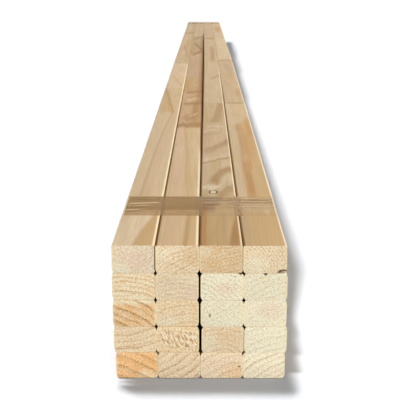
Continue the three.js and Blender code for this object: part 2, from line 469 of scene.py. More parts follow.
# What a block of wood is drawn from at random: the mean and spread of its resin, its most pink,
# how dark its rings are, and in millimetres its distance from the pith, its lean for each
# millimetre along, and the distance between its rings.
RESIN = (0.42, 0.28)
MOST_PINK = 0.8
FIGURES = (0.2, 0.7)
PITH_DISTANCES = (35, 120)
LEANS = (-0.02, 0.02)
PITCHES = (3.2, 7.5)
FRONT_LEAN = (0.004, 0.006)

# How dark the wood is from one ring to the next.
RING_PROFILE = [(0.0, 0.0), (0.42, 0.08), (0.72, 0.42), (0.86, 1.0), (0.94, 0.75), (1.0, 0.0)]
DARKEST = 0.86


def joint_distances(stud):
    """How far behind the front end a stud of the lower rows is finger-jointed."""
    block = (stud.row - 1) * COLUMNS + stud.column - 1
    found = []
    distance = SHORTEST_BLOCK
    while distance < STUD_LENGTH - SHORTEST_BLOCK:
        found.append(distance)
        distance += SHORTEST_BLOCK + (LONGEST_BLOCK - SHORTEST_BLOCK) * (block * BLOCK_RHYTHM % 1)
        block += 1
    return found


def blocks_of(stud):
    """The blocks of wood that a stud is jointed from, front to back."""
    log = LOGS[stud.row, stud.column]
    chance = random.Random(100 * stud.row + stud.column)
    phase = 0.0
    if log.through:
        phase = (DARKEST - math.dist(log.through, log.pith) / log.pitch) % 1.0
    made = [Block(0, log.pith, FRONT_LEAN, log.pitch, phase, *log[2:6])]
    if stud.row == 1:
        plan = TOP_BLOCKS[stud.column]
    else:
        plan = []
        for start in joint_distances(stud):
            resin = min(1.0, max(0.0, chance.gauss(*RESIN)))
            pink = chance.random() * MOST_PINK
            plan.append((start, resin, pink, chance.uniform(*FIGURES), 1.0))
    for start, resin, pink, figure, shade in plan:
        angle = chance.uniform(0, 2 * math.pi)
        reach = chance.uniform(*PITH_DISTANCES)
        lean = (chance.uniform(*LEANS), chance.uniform(*LEANS))
        pith = (reach * math.cos(angle) - lean[0] * start,
                reach * math.sin(angle) - lean[1] * start)
        pitch = chance.uniform(*PITCHES)
        made.append(Block(start, pith, lean, pitch, chance.random(), figure, resin, pink, shade))
    return made


# A ramp holds no more than four values from 0 to 1 for each block, so each is kept as a share of
# its range.
PITH_RANGE = 400.0
LEAN_RANGE = 0.1
BOW_RANGE = 20.0
PITCH_RANGE = 10.0
SHADE_RANGE = 2.0
LOOKUP_STEPS = 255          # a ramp is read at this many even steps,
LOOKUP_LEAD = 0.3           # and a block's values start this share of a step ahead of one
GLUE_LINE = 0.35            # in millimetres
NEXT_BLOCK = 0.001          # a step in the blocks' numbers over this is a joint
FOOT = 100.0                # how many half fingers below the stud's middle the fingers start

# What keeps the noise of one block, row, column or ring apart from the next.
BLOCK_SHIFT, ROW_SHIFT, COLUMN_SHIFT = 53.0, 7.0, 3.0
RING_SHIFT, LIFT_SHIFT = 91.0, 31.0
WAVER = 7.0                 # how far the pith wanders, in millimetres
LEAST_TURN = 14.0           # the grain round the pith is never finer than at this radius

# Skins of a stud, in millimetres in from its faces: where each is whole, and where it ends.
END_SKIN = (0.3, 0.5)
ARRIS_ASIDE, ARRIS_ABOVE = (1.6, 2.5), (3.2, 4.0)
SHUT_SKIN = (0.2, 0.4)
SIDE_RIM, FLAT_RIM = (0.8, 2.2), (0.2, 1.4)
OPEN_EDGE = (4.2, 4.6)


def packed(value, reach):
    """A signed value as a share of its range."""
    return 0.5 + value / (2 * reach)


def unpacked(share, reach):
    return (share - 0.5) * (2 * reach)


def grey(level):
    return (level,) * 4


class Wood:
    """The coordinates and growth rings of one stud inside its material."""

    def __init__(self, maker, stud, settings):
        self.maker = maker
        self.stud = stud
        x, y, z = maker.split(maker.node("ShaderNodeTexCoord").outputs["Object"])
        self.x = x * TO_MM
        self.z = z * TO_MM
        self.along = (y - stud.front) * TO_MM
        self.across = self.x - stud.middle_x * TO_MM
        self.up = self.z - stud.middle_z * TO_MM
        self.length = stud.length * TO_MM
        self.half_width = stud.width * TO_MM / 2
        self.half_thickness = stud.thickness * TO_MM / 2
        self.blocks = blocks_of(stud)
        self.edge_across = self.across - self.drift()
        self.read_blocks(settings)
        self.grow()
        self.mask_faces()
        self.add_noise()

    def drift(self):
        """How far the bowed stud has moved across from where its front end is, in millimetres."""
        stops = []
        for distance, middle in self.stud.stations:
            share = packed((middle - self.stud.middle_x) * TO_MM, BOW_RANGE)
            stops.append((distance / self.stud.length, grey(share)))
        ramp = self.maker.ramp(self.along / self.length, stops)
        return unpacked(Amount(self.maker, ramp.outputs[1]), BOW_RANGE)

    def lookup(self, share, values):
        """A ramp with four values for each block, which gives those of the block it is read in."""
        stops = []
        for block in self.blocks:
            index = round(block.start / self.length * LOOKUP_STEPS)
            stops.append((max(0.0, (index - LOOKUP_LEAD) / LOOKUP_STEPS), values(block)))
        return self.maker.ramp(share, stops, "CONSTANT")

    def read_blocks(self, settings):
        """What the block at each place is like. Blocks meet in fingers."""
        maker = self.maker
        half = settings.finger_pitch * TO_MM / 2
        reach = settings.finger_length * TO_MM
        saw = maker.maths("PINGPONG", self.up + FOOT * half, half)
        share = (self.along + saw * (reach / half) - reach / 2) / self.length

        def place(block):
            return (*[packed(value, PITH_RANGE) for value in block.pith],
                    *[packed(value, LEAN_RANGE) for value in block.lean])

        def nature(block):
            number = self.blocks.index(block) / len(self.blocks)
            return (block.resin, block.pink, block.figure, number)

        def rings(block):
            return (block.pitch / PITCH_RANGE, block.phase, block.shade / SHADE_RANGE, 1.0)

        placed = self.lookup(share, place)
        natured = self.lookup(share, nature)
        ringed = self.lookup(share, rings)
        pith_x, pith_z, lean_x = maker.split(placed.outputs[0])
        self.pith_x = unpacked(pith_x, PITH_RANGE)
        self.pith_z = unpacked(pith_z, PITH_RANGE)
        self.lean_x = unpacked(lean_x, LEAN_RANGE)
        self.lean_z = unpacked(Amount(maker, placed.outputs[1]), LEAN_RANGE)
        self.resin, self.pink, self.figure = maker.split(natured.outputs[0])
        self.number = Amount(maker, natured.outputs[1])
        pitch, self.phase, shade = maker.split(ringed.outputs[0])
        self.pitch = pitch * PITCH_RANGE
        self.shade = shade * SHADE_RANGE
        ahead = self.lookup(share + GLUE_LINE / self.length, nature)
        step = Amount(maker, ahead.outputs[1]) - self.number
        self.glue = maker.maths("GREATER_THAN", step, NEXT_BLOCK)

    def grow(self):
        """Distance from the pith, which wavers along the tree, and the rings on it."""
        maker, stud = self.maker, self.stud
        across, along, up = self.across, self.along, self.up
        shift = self.number * BLOCK_SHIFT + ROW_SHIFT * stud.row + COLUMN_SHIFT * stud.column
        self.shift = shift
        waver = maker.noise(across / 70.0, along / 420.0, up / 70.0 + shift, detail=1.0)
        twist = maker.noise(along / 300.0, shift, across / 50.0, detail=1.0)
        run_x = across - self.pith_x - self.lean_x * along + waver * WAVER
        run_z = up - self.pith_z - self.lean_z * along + twist * WAVER
        radius = maker.maths("SQRT", run_x * run_x + run_z * run_z)
        ripple = maker.noise(across / 6.0, along / 90.0, up / 6.0)
        sway = maker.noise(across / 19.0, along / 160.0, up / 19.0, detail=1.0)
        ring = radius / self.pitch + self.phase + ripple * 0.10 + sway * 0.34
        profile = [(place, grey(dark)) for place, dark in RING_PROFILE]
        late = Amount(maker, maker.ramp(maker.maths("FRACT", ring), profile).outputs[1])
        seed = maker.maths("FLOOR", ring) + self.number * RING_SHIFT
        draw = maker.node("ShaderNodeTexWhiteNoise", {"noise_dimensions": "1D"}, {"W": seed})
        self.late = late * self.figure * (Amount(maker, draw.outputs[0]) * 0.8 + 0.55)
        reach = max(LEAST_TURN, math.hypot(*LOGS[stud.row, stud.column].pith))
        turn = maker.maths("ARCTAN2", run_z, run_x) * reach
        self.grain = maker.noise(radius / 1.25, turn / 1.9, along * 0.3 + shift, roughness=0.6)
        self.patch = maker.noise(radius / 5.0, turn / 14.0, along * 0.02 + shift)

    def skin(self, off, half, depths):
        """1 near the faces that stand half the stud off its middle, 0 deeper in."""
        whole, gone = depths
        return self.maker.step(off, half - gone, half - whole)

    def mask_faces(self):
        """Where the sawn ends, their rims, the long edges and the faces shut between studs are."""
        whole, gone = END_SKIN
        front = self.maker.step(self.along, gone, whole)
        self.end = front + self.skin(self.along, self.length, END_SKIN)
        aside = self.maker.maths("ABSOLUTE", self.edge_across)
        above = self.maker.maths("ABSOLUTE", self.up)
        self.arris = (self.skin(aside, self.half_width, ARRIS_ASIDE)
                      * self.skin(above, self.half_thickness, ARRIS_ABOVE))
        inside = self.inside()
        # Painted shade goes on the arrises that face other studs, in the hollows between four
        # studs.
        self.hollow = self.arris * inside
        # Painted shade goes on the faces shut between studs.
        side = self.skin(aside, self.half_width, SHUT_SKIN)
        flat = self.skin(above, self.half_thickness, SHUT_SKIN)
        self.shut = inside * self.maker.maths("MAXIMUM", side, flat)
        # Painted highlight goes on the sawn ends towards their sides, and a little at top and
        # bottom.
        self.side_rim = self.skin(aside, self.half_width, SIDE_RIM)
        self.flat_rim = self.skin(above, self.half_thickness, FLAT_RIM)

    def inside(self):
        """1 on the sides that meet other studs, 0 on those round the outside. In the bottom row it
        is 1 only along the foot, which lies in the dark."""
        step = self.maker.step
        near, far = OPEN_EDGE
        found = 1.0
        if self.stud.column == 1:
            found = step(self.across, -1.0, 1.0)
        if self.stud.column == COLUMNS:
            found = step(self.across, 1.0, -1.0)
        if self.stud.row == 1:
            found = step(self.up, self.half_thickness - near, self.half_thickness - far) * found
        if self.stud.row == ROWS:
            found = step(self.up, far - self.half_thickness, near - self.half_thickness) * found
        return found

    def add_noise(self):
        """Noise drawn out along the grain, and coordinates bent by it, so no streak is straight."""
        noise = self.maker.noise
        across, along, up = self.across, self.along, self.up
        lift = up + self.shift * LIFT_SHIFT
        self.broad = noise(across / 22.0, along / 330.0, lift / 22.0)
        self.medium = noise(across / 8.0, along / 75.0, lift / 8.0)
        self.streak = noise(across * 0.7, along * 0.010, lift * 0.7, detail=3.0, roughness=0.6)
        self.hair = noise(across * 2.4, along * 0.03, lift * 2.4, detail=1.0)
        self.speckle = noise(across * 0.72, along * 0.3, up * 0.72, roughness=0.6)
        self.bent_x = self.x + self.broad * 2.2 + self.medium * 1.6 + self.streak * 0.7
        self.bent_s = along + self.broad * 14.0 + self.medium * 16.0
        self.worn = self.streak * 0.45 + self.medium * 0.35 + 1.0

    def stripe(self, left, right, start, stop, soft, fade):
        """A streak along the stud, between two lines across it."""
        return (self.maker.window(self.bent_x, left, right, soft)
                * self.maker.window(self.bent_s, start, stop, fade))

    def flank(self, x0, s0, x1, s1, power, side, reach, soft):
        """A tint that starts at a curve along the stud and fades out to one side of it."""
        share = self.maker.clamped((self.bent_s - s0) / (s1 - s0))
        off = (self.bent_x - share ** power * (x1 - x0) - x0) * side
        return self.one_sided(off, reach, soft) * self.maker.window(self.bent_s, s0, s1, 26.0)

    def sweep(self, x0, s0, x1, s1, power, side, reach, soft):
        """A tint that starts at a curve across the stud and fades out ahead of it or behind."""
        share = self.maker.clamped((self.bent_x - x0) / (x1 - x0))
        off = (self.bent_s - share ** power * (s1 - s0) - s0) * side
        return self.one_sided(off, reach, soft) * self.maker.window(self.bent_x, x0, x1, 7.0)

    def one_sided(self, off, reach, soft):
        return self.maker.step(off, -soft, soft) * self.maker.step(off, reach, reach * 0.35)

    def arch(self, x, s, reach_x, reach_s, width, soft):
        """A tint along the far half of an oval, fading inward."""
        step = self.maker.step
        dx = (self.bent_x - x) / reach_x
        ds = (self.bent_s - s) / reach_s
        away = self.maker.maths("SQRT", dx * dx + ds * ds)
        outer = step(away, 1.0 + soft / 2, 1.0 - soft / 2)
        return outer * step(away, 1.0 - width, 1.0 - soft) * step(ds, -0.1, 0.25)

    def rim(self, side, width, start=None, stop=None, fade=100.0):
        """A line of even width along one long edge of the stud."""
        inward = self.half_width - self.edge_across * side
        line = self.maker.step(inward, width * 1.3, width * 0.7)
        return line * self.maker.window(self.along, start, stop, fade)

    def spot(self, x, s, reach_x, reach_s):
        dx = (self.bent_x - x) / reach_x
        ds = (self.bent_s - s) / reach_s
        return self.maker.step(dx * dx + ds * ds, 1.7, 0.0)

    def mark(self, xa, za, xb, zb, width):
        """A line on the front end from one point to another, in X and Z."""
        run = math.hypot(xb - xa, zb - za)
        ux, uz = (xb - xa) / run, (zb - za) / run
        dx, dz = self.x - xa, self.z - za
        along = dx * ux + dz * uz
        off = self.maker.maths("ABSOLUTE", dz * ux - dx * uz + self.speckle * 0.35)
        reach = self.maker.window(along, 0.0, run, width * 2)
        return self.maker.step(off, width, width * 0.3) * reach

    def dot(self, x, z, reach_x, reach_z):
        dx = (self.x - x + self.speckle * 0.6) / reach_x
        dz = (self.z - z + self.grain * 0.4) / reach_z
        return self.maker.step(dx * dx + dz * dz, 1.2, 0.4)

    def patch_of(self, x, z, reach_x, reach_z):
        """A soft-edged patch on the front end."""
        dx = (self.x - x + self.patch * 5.0) / reach_x
        dz = (self.z - z + self.grain * 2.0) / reach_z
        return self.maker.step(dx * dx + dz * dz, 1.8, 0.0)


SEAMS = (-43.0, -0.8, 41.4)  # where the top studs meet near the front, in millimetres across

# Figure on the planed top faces: tint, strength, kind and place. Across is from the middle of
# the bundle and along is from the front end, in millimetres. The rims along the long edges are
# painted light and shade: highlights, partly wear, and shade along the seams, partly stain.
TOP_FIGURE = {
    1: [
        ("honey", 0.66, "flank", -67, -20, -50, 105, 1.5, 1, 44, 3),
        ("brown", 0.12, "flank", -67, -20, -50, 105, 1.5, 1, 20, 2),
        ("pink", 0.25, "flank", -67, -20, -50, 105, 1.5, -1, 30, 3),
        ("cream", 0.3, "flank", -67, -20, -50, 105, 1.5, -1, 34, 3),
        ("honey", 0.34, "flank", -73, 150, -55, 752, 2, -1, 20, 3),
        ("cream", 0.14, "flank", -73, 150, -55, 752, 2, -1, 20, 3),
        ("honey", 0.16, "flank", -73, 150, -55, 752, 2, 1, 22, 3),
        ("brown", 0.32, "flank", -73, 150, -57, 752, 2, 1, 4, 1.4),
        ("brown", 0.08, "flank", -73, 150, -55, 752, 2, 1, 16, 2.5),
        ("pink", 0.25, "flank", -73, 150, -55, 752, 2, 1, 30, 2.5),
        ("honey", 0.6, "flank", -52, 745, -80, 1060, 1, -1, 16, 2),
        ("brown", 0.34, "flank", -52, 745, -80, 1060, 1, -1, 6, 2),
        ("honey", 0.5, "spot", -76, 800, 6, 60),
        ("orange", 0.4, "flank", -50, 1095, -78, 1300, 1, 1, 7, 3),
        ("brown", 0.3, "flank", -47, 1760, -66, 2160, 1, -1, 9, 4),
        ("brown", 0.22, "stripe", -58, -40, 1650, None, 10, 200),
        ("orange", 0.4, "spot", -62, 2200, 9, 240),
        ("brown", 0.4, "sweep", -80, 2735, -44, 2760, 1, 1, 110, 30),
        # Painted highlight on the right edge, painted shade at the seam, a fainter highlight on the
        # left.
        ("burnish", 0.95, "rim", 1, 3, None, 1500, 500),
        ("seam", 0.85, "rim", 1, 0.9, None, 900, 500),
        ("burnish", 0.35, "rim", -1, 1.6),
    ],
    2: [
        ("pink", 0.4, "stripe", -37, -24, None, 597, 7, 20),
        ("brown", 0.13, "stripe", -46, 2, None, 108, 8, 14),
        ("brown", 0.42, "flank", -17, -20, -15, 105, 1, 1, 7, 2.2),
        ("honey", 0.45, "stripe", -11, -4, None, 105, 4.5, 20),
        ("honey", 0.3, "flank", -15, 150, -30, 600, 0.7, 1, 12, 2.6),
        ("brown", 0.14, "flank", -15, 150, -30, 600, 0.7, 1, 5, 1.6),
        ("pink", 0.35, "flank", -15, 150, -30, 600, 0.7, -1, 16, 3),
        ("orange", 0.22, "stripe", -44, 0, 599, 1110, 6, 14),
        ("pink", 0.45, "stripe", -40, -22, 620, 1000, 12, 40),
        ("brown", 0.6, "sweep", -44, 598, 0, 612, 1, 1, 50, 5),
        ("brown", 0.5, "spot", -14, 760, 7, 120),
        ("brown", 0.45, "spot", -27, 690, 9, 40),
        ("cream", 0.3, "sweep", -26, 690, -8, 735, 1, 1, 20, 6),
        ("brown", 0.6, "sweep", -38, 862, -2, 872, 1, -1, 50, 5),
        ("cream", 0.4, "sweep", -32, 890, -4, 915, 1, 1, 20, 8),
        ("brown", 0.3, "sweep", -32, 935, -4, 950, 1, 1, 20, 8),
        ("brown", 0.52, "sweep", -36, 1015, -2, 1030, 1, -1, 50, 9),
        ("brown", 0.4, "stripe", -13, 8, 860, 2450, 9, 120),
        ("pink", 0.3, "stripe", -38, -8, 1250, 1850, 12, 60),
        ("brown", 0.16, "stripe", -30, -10, 1250, 1900, 10, 80),
        ("brown", 0.14, "stripe", -42, -30, 1330, 1850, 9, 60),
        ("brown", 0.8, "sweep", -34, 1800, 0, 1960, 1, 1, 75, 25),
        ("brown", 0.8, "sweep", -34, 2290, 0, 1990, 1, -1, 90, 25),
        ("brown", 0.45, "sweep", -40, 2480, 0, 2640, 1, -1, 120, 30),
        # Painted shade along both seams, painted highlight on the right edge; the wide right rims
        # partly stain.
        ("seam", 0.85, "rim", -1, 1.7, None, 1000, 700),
        ("burnish", 0.95, "rim", 1, 3.3, None, 430, 120),
        ("seam", 0.9, "rim", 1, 1.2, None, 600, 200),
        ("seam", 0.85, "rim", 1, 2.2, 400, 2700, 200),
        ("seam", 0.7, "rim", 1, 4, 1000, 2700, 700),
        ("seam", 0.2, "rim", 1, 9, 800, 2700, 700),
    ],
    3: [
        ("brown", 0.55, "stripe", -1, 2.5, None, 120, 2, 60),
        ("orange", 0.6, "stripe", 2.5, 7, None, 150, 3, 60),
        ("brown", 0.16, "stripe", 2, 7, None, 150, 4, 60),
        ("brown", 0.15, "stripe", 0, 42, None, 108, 6, 14),
        ("brown", 0.2, "stripe", 22, 27, None, 108, 7, 30),
        ("brown", 0.66, "flank", 27, -20, 39, 110, 1.4, 1, 17, 2.2),
        ("pink", 0.5, "stripe", -1, 12, 190, 420, 6, 30),
        ("brown", 0.6, "sweep", 20, 186, 42, 236, 1, -1, 50, 6),
        ("cream", 0.55, "spot", 10, 214, 11, 11),
        ("cream", 0.4, "sweep", 16, 206, 28, 226, 1, 1, 12, 5),
        ("cream", 0.25, "spot", 30, 262, 10, 26),
        ("cream", 0.12, "stripe", -5, 50, 178, 858, 8, 20),
        ("brown", 0.58, "arch", 46, 222, 36, 98, 0.46, 0.22),
        ("brown", 0.5, "sweep", 1, 344, 43, 380, 1, -1, 13, 4),
        ("cream", 0.22, "sweep", 1, 350, 43, 386, 1, 1, 30, 5),
        ("brown", 0.55, "sweep", 3, 434, 43, 508, 1.2, -1, 60, 9),
        ("brown", 0.3, "sweep", 14, 450, 43, 500, 1.4, -1, 34, 9),
        ("brown", 0.25, "sweep", 2, 548, 30, 556, 1, -1, 30, 6),
        ("cream", 0.5, "sweep", 5, 562, 22, 572, 0.5, 1, 18, 5),
        ("cream", 0.45, "sweep", 10, 604, 36, 596, 1, 1, 17, 5),
        ("pink", 0.35, "stripe", 4, 36, 380, 640, 8, 50),
        ("brown", 0.48, "flank", 13, 640, 30, 858, 0.8, 1, 24, 3.5),
        ("honey", 0.12, "stripe", 0, 20, 640, 858, 8, 40),
        ("brown", 0.45, "sweep", 22, 1232, 42, 1300, 1, 1, 40, 12),
        ("brown", 0.4, "stripe", 22, 36, 1640, 2120, 9, 160),
        ("brown", 0.35, "sweep", 4, 2460, 42, 2440, 1, 1, 110, 30),
        # Painted shade along both seams and a painted highlight on the right edge.
        ("seam", 0.8, "rim", -1, 1.6, None, 2600, 300),
        ("burnish", 0.85, "rim", 1, 2.6, None, 1500, 500),
        ("seam", 0.85, "rim", 1, 0.9, None, 900, 500),
    ],
    4: [
        ("brown", 0.34, "stripe", 41, 50, None, 110, 6, 30),
        ("honey", 0.45, "stripe", 50, 84, None, 110, 8, 14),
        ("brown", 0.13, "stripe", 50, 90, None, 110, 10, 14),
        ("orange", 0.6, "stripe", 54, 66, 150, 330, 4, 110),
        ("brown", 0.3, "stripe", 57, 65, 180, 300, 4, 60),
        ("orange", 0.4, "stripe", 58, 70, 350, 560, 7, 120),
        ("honey", 0.5, "stripe", 66, 86, 150, 660, 5, 60),
        ("orange", 0.5, "spot", 64, 330, 6, 30),
        ("orange", 0.36, "spot", 70, 470, 11, 120),
        ("orange", 0.5, "stripe", 74, 82, 530, 680, 4, 50),
        ("orange", 0.42, "spot", 62, 600, 8, 45),
        ("brown", 0.3, "flank", 54, 300, 57, 620, 1, 1, 8, 2),
        ("brown", 0.4, "sweep", 47, 862, 86, 866, 1, -1, 22, 8),
        ("orange", 0.4, "spot", 76, 1000, 6, 70),
        ("grey", 0.3, "spot", 68, 1470, 12, 120),
        ("honey", 0.4, "spot", 67, 1290, 9, 70),
        ("brown", 0.35, "sweep", 47, 1640, 86, 1655, 1, 1, 60, 25),
        ("orange", 0.6, "spot", 64, 3020, 15, 220),
        # Painted shade at the seam on the left, painted highlight on the right outer edge.
        ("seam", 0.85, "rim", -1, 1.8, None, 1150, 600),
        ("cream", 0.85, "rim", 1, 2),
    ],
}

# Figure on the front ends: tint, strength, kind and place, across and above the floor.
END_FIGURE = {
    (1, 1): [("end_honey", 0.14, "patch_of", -80, 134, 6, 7),
             ("end_pale", 0.4, "patch_of", -78, 119, 10, 6),
             ("end_pink", 0.8, "patch_of", -62, 127, 15, 9),
             # A painted shade line along the seam with the next end.
             ("dark", 0.95, "mark", -43.6, 116, -43.3, 142, 1.2)],
    (1, 2): [("end_honey", 0.2, "patch_of", -8, 130, 12, 10),
             ("brown", 0.16, "patch_of", -8, 130, 12, 10),
             ("brown", 0.2, "mark", -36, 125, -14, 118, 1.8),
             ("end_pale", 0.4, "patch_of", -38, 134, 9, 7),
             ("dark", 0.4, "dot", -20.5, 130.5, 0.8, 0.8)],
    # The dark dot on this end is painted shade beside the chip in the stud below.
    (1, 3): [("dark", 0.8, "dot", 38.5, 112.8, 2.6, 1.2),
             ("end_pale", 0.3, "patch_of", 6, 134, 9, 5)],
    # The big dark dot on this end is painted shade in the chip's hollow.
    (1, 4): [("dark", 0.95, "dot", 80.3, 114.8, 6, 2.8),
             ("end_pale", 0.5, "dot", 59.3, 138.2, 1.6, 1.2),
             ("end_pale", 0.45, "patch_of", 55, 122, 12, 9)],
    (2, 1): [("brown", 0.25, "mark", -70, 93, -50, 88, 1.4),
             ("end_pale", 0.45, "mark", -84, 92, -48, 87, 2.2)],
    (2, 2): [("end_pink", 0.6, "patch_of", -9, 93, 11, 8),
             ("grey", 0.14, "patch_of", -30, 104, 14, 8)],
    (2, 3): [("end_pink", 0.55, "patch_of", 26, 97, 12, 6),
             ("dark", 0.35, "dot", 33, 110, 1.4, 0.8)],
    (3, 1): [("end_pale", 0.65, "patch_of", -66, 85, 30, 5),
             ("dark", 0.2, "mark", -85.5, 63, -76, 57.5, 1)],
    (3, 2): [("end_pale", 0.5, "patch_of", -32, 62, 10, 5)],
    (3, 3): [("dark", 0.75, "dot", 9.5, 69, 1.1, 2.2)],
    (3, 4): [("end_pink", 0.45, "patch_of", 68, 74, 13, 9)],
    (4, 1): [("brown", 0.3, "mark", -84, 33, -48, 41, 1.2),
             ("grey", 0.14, "patch_of", -66, 50, 16, 8)],
    (4, 3): [("end_pale", 0.4, "patch_of", 6, 38, 12, 12),
             ("end_honey", 0.15, "patch_of", 30, 46, 18, 13)],
    (5, 1): [("end_pale", 0.38, "patch_of", -52, 4, 12, 6)],
    (5, 2): [("grey", 0.6, "dot", -2.5, 2.5, 3.4, 3.4)],
    (5, 3): [("dark", 0.8, "dot", 39, 13.5, 1.6, 0.9),
             ("end_honey", 0.4, "patch_of", 34, 8, 12, 9),
             ("end_pink", 0.4, "patch_of", 18, 16, 12, 8)],
    (5, 4): [("end_pale", 0.7, "patch_of", 72, 9, 18, 12),
             ("end_pink", 0.35, "patch_of", 70, 8, 18, 8)],
}


def figured(wood, settings, plans, base, softener):
    """Lays each planned streak or mark over a colour."""
    made = base
    for tint, strength, kind, *place in plans:
        cover = wood.maker.clamped(getattr(wood, kind)(*place) * strength * softener)
        made = wood.maker.mix(cover, made, getattr(settings, tint))
    return made


def planed_wood(wood, stud, settings):
    """The long faces: soft bands of resin and pink, faint rings and fine streaks along the stud."""
    maker = wood.maker
    resin = maker.clamped(wood.resin + wood.broad * 0.35)
    pink = maker.clamped(wood.pink - wood.broad * 0.45 + wood.medium * 0.2)
    made = maker.mix(resin, settings.pale, settings.honey)
    made = maker.mix(pink * 0.48, made, settings.pink)
    made = maker.mix(maker.clamped(wood.late * 0.42), made, settings.late)
    if stud.row == 1:
        made = figured(wood, settings, TOP_FIGURE[stud.column], made, wood.worn)
    else:
        # The right long edges are lighter and the left ones darker: painted highlight and painted
        # shade.
        right = maker.step(wood.across, -4.0, 4.0)
        made = maker.mix(wood.arris * right * 0.30, made, settings.cream)
        made = maker.mix(wood.arris * (1.0 - right) * 0.25, made, settings.brown)
    if (stud.row, stud.column) == KNOTTY:
        made = knot(wood, settings, made)
    made = maker.mix(wood.glue * 0.3, made, settings.dark)
    uneven = wood.streak * 0.12 + wood.hair * 0.05 + wood.medium * 0.10 + 1.0
    made = maker.scaled(made, uneven * wood.shade)
    # The faces shut between studs are painted brown, orange in the top row: painted shade in the
    # gaps.
    shut_shade = settings.groove if stud.row == 1 else settings.brown
    made = maker.mix(wood.shut * 0.95, made, shut_shade)
    # Painted shade in the hollows between four studs.
    return maker.mix(wood.hollow, made, settings.hollow)


def sawn_wood(wood, stud, settings):
    """The sawn ends: rings broken into grains, light torn fibres and small dark pores."""
    maker, step = wood.maker, wood.maker.step
    resin = maker.clamped(wood.resin + wood.patch * 0.35 + wood.grain * 0.22)
    pink = maker.clamped(wood.pink - wood.patch * 0.45)
    made = maker.mix(resin, settings.end_pale, settings.end_honey)
    made = maker.mix(pink * 0.7, made, settings.end_pink)
    rings = wood.late * (wood.grain * 0.9 + wood.patch * 0.5 + 1.0)
    made = maker.mix(maker.clamped(rings * 0.72), made, settings.end_late)
    plans = END_FIGURE.get((stud.row, stud.column), [])
    stains = [plan for plan in plans if plan[0] != "dark"]
    marks = [plan for plan in plans if plan[0] == "dark"]
    softener = wood.speckle * 0.5 + 1.0
    made = figured(wood, settings, stains, made, softener)
    if (stud.row, stud.column) == TORN:
        made = torn_end(wood, settings, made)
    made = maker.mix(step(wood.grain, 0.0, 0.40) * 0.42, made, settings.end_late)
    torn = 1.0 - wood.resin * 0.45
    made = maker.mix(step(wood.grain, 0.0, -0.40) * torn * 0.72, made, settings.end_light)
    made = maker.mix(step(wood.speckle, 0.05, 0.40) * 0.46, made, settings.end_pore)
    made = maker.mix(step(wood.speckle, -0.05, -0.40) * torn * 0.70, made, settings.end_light)
    coarse = maker.clamped(wood.late * (wood.patch * 0.8 + 0.45))
    made = maker.scaled(maker.mix(coarse, made, settings.end_late), wood.shade)
    # Painted highlight towards the sides of the end, and a little at top and bottom.
    rim = maker.clamped(wood.side_rim * 0.50 + wood.flat_rim * 0.12)
    made = maker.mix(rim, made, settings.end_edge_highlight)
    return figured(wood, settings, marks, made, softener)


def chipped(wood, stud, settings, base):
    """Paints shade into the hollows that the chips left in a stud."""
    maker = wood.maker
    made = base
    for place, side, inset, half_width, half_height, depth in CHIPS:
        if place != (stud.row, stud.column):
            continue
        dx = (wood.across - (stud.width / 2 - inset) * TO_MM) / (half_width * TO_MM)
        dz = (wood.up - side * stud.thickness / 2 * TO_MM) / (half_height * TO_MM)
        shallow = maker.step(wood.along, depth * TO_MM, depth * TO_MM - 3.0)
        near = maker.step(dx * dx + dz * dz, 1.7, 1.1) * shallow
        made = maker.mix(near * 0.8, made, settings.dark)
    return made


def pine_material(stud, settings):
    """Pine with rings, blocks and streaks that run through, planed outside, sawn at the ends."""
    maker = Maker(bpy.data.materials.new("pine_" + stud.name))
    wood = Wood(maker, stud, settings)
    planed = planed_wood(wood, stud, settings)
    sawn = sawn_wood(wood, stud, settings)
    tint = chipped(wood, stud, settings, maker.mix(maker.clamped(wood.end), planed, sawn))
    rough = wood.end * 0.1 + wood.streak * 0.06 + 0.68
    relief = (wood.streak * 0.35 + wood.hair * 0.12 + wood.late * 0.4
              + wood.end * (wood.grain * 1.1 + wood.speckle * 0.5))
    return maker.surface(tint, rough, 0.04, relief, 0.5, 0.16 * MM)


# The top stud with a knot, the knot's middle across and along, and its reach, in millimetres.
KNOTTY = (1, 3)
KNOT_PLACE = (14.5, 191.0)
KNOT_REACH = (5.0, 8.5)


def knot(wood, settings, base):
    """A small round knot with a pale heart and a dark rim."""
    maker = wood.maker
    dx = (wood.x - KNOT_PLACE[0]) / KNOT_REACH[0]
    ds = (wood.along - KNOT_PLACE[1]) / KNOT_REACH[1]
    away = maker.maths("SQRT", dx * dx + ds * ds) + wood.speckle * 0.08
    rim = maker.window(away, 0.68, 1.1, 0.3) * maker.clamped(dx * dx * 1.4 + 0.35)
    made = maker.mix(maker.step(away, 0.9, 0.6) * 0.8, base, settings.cream)
    made = maker.mix(maker.clamped(rim) * 0.9, made, settings.dark)
    return maker.mix(maker.step(away, 0.34, 0.16) * 0.5, made, settings.brown)


# The stud whose end the saw tore, and the band that it tore, in millimetres: across, above the
# floor, and how much the band's edges fall for each millimetre across.
TORN = (4, 2)
TORN_ACROSS = (-39, -3)
TORN_ABOVE = (34.5, 52.0)
TORN_FALL = 0.12


def torn_end(wood, settings, base):
    """Coarse brown flecks where the saw tore the grain, steep from upper left to lower right."""
    maker = wood.maker
    fleck = maker.noise(
        wood.x * 0.56 + wood.z * 0.34, wood.z * 0.10 - wood.x * 0.14, 0.0, roughness=0.6)
    level = wood.z + (wood.x + 20) * TORN_FALL
    inside = maker.window(wood.x, *TORN_ACROSS, 5.0) * maker.window(level, *TORN_ABOVE, 3.0)
    made = maker.mix(maker.step(fleck, -0.02, -0.28) * inside * 0.75, base, settings.end_light)
    return maker.mix(maker.step(fleck, 0.05, 0.26) * inside, made, settings.brown)


# ---------------------------------------------------------------------------- the studs

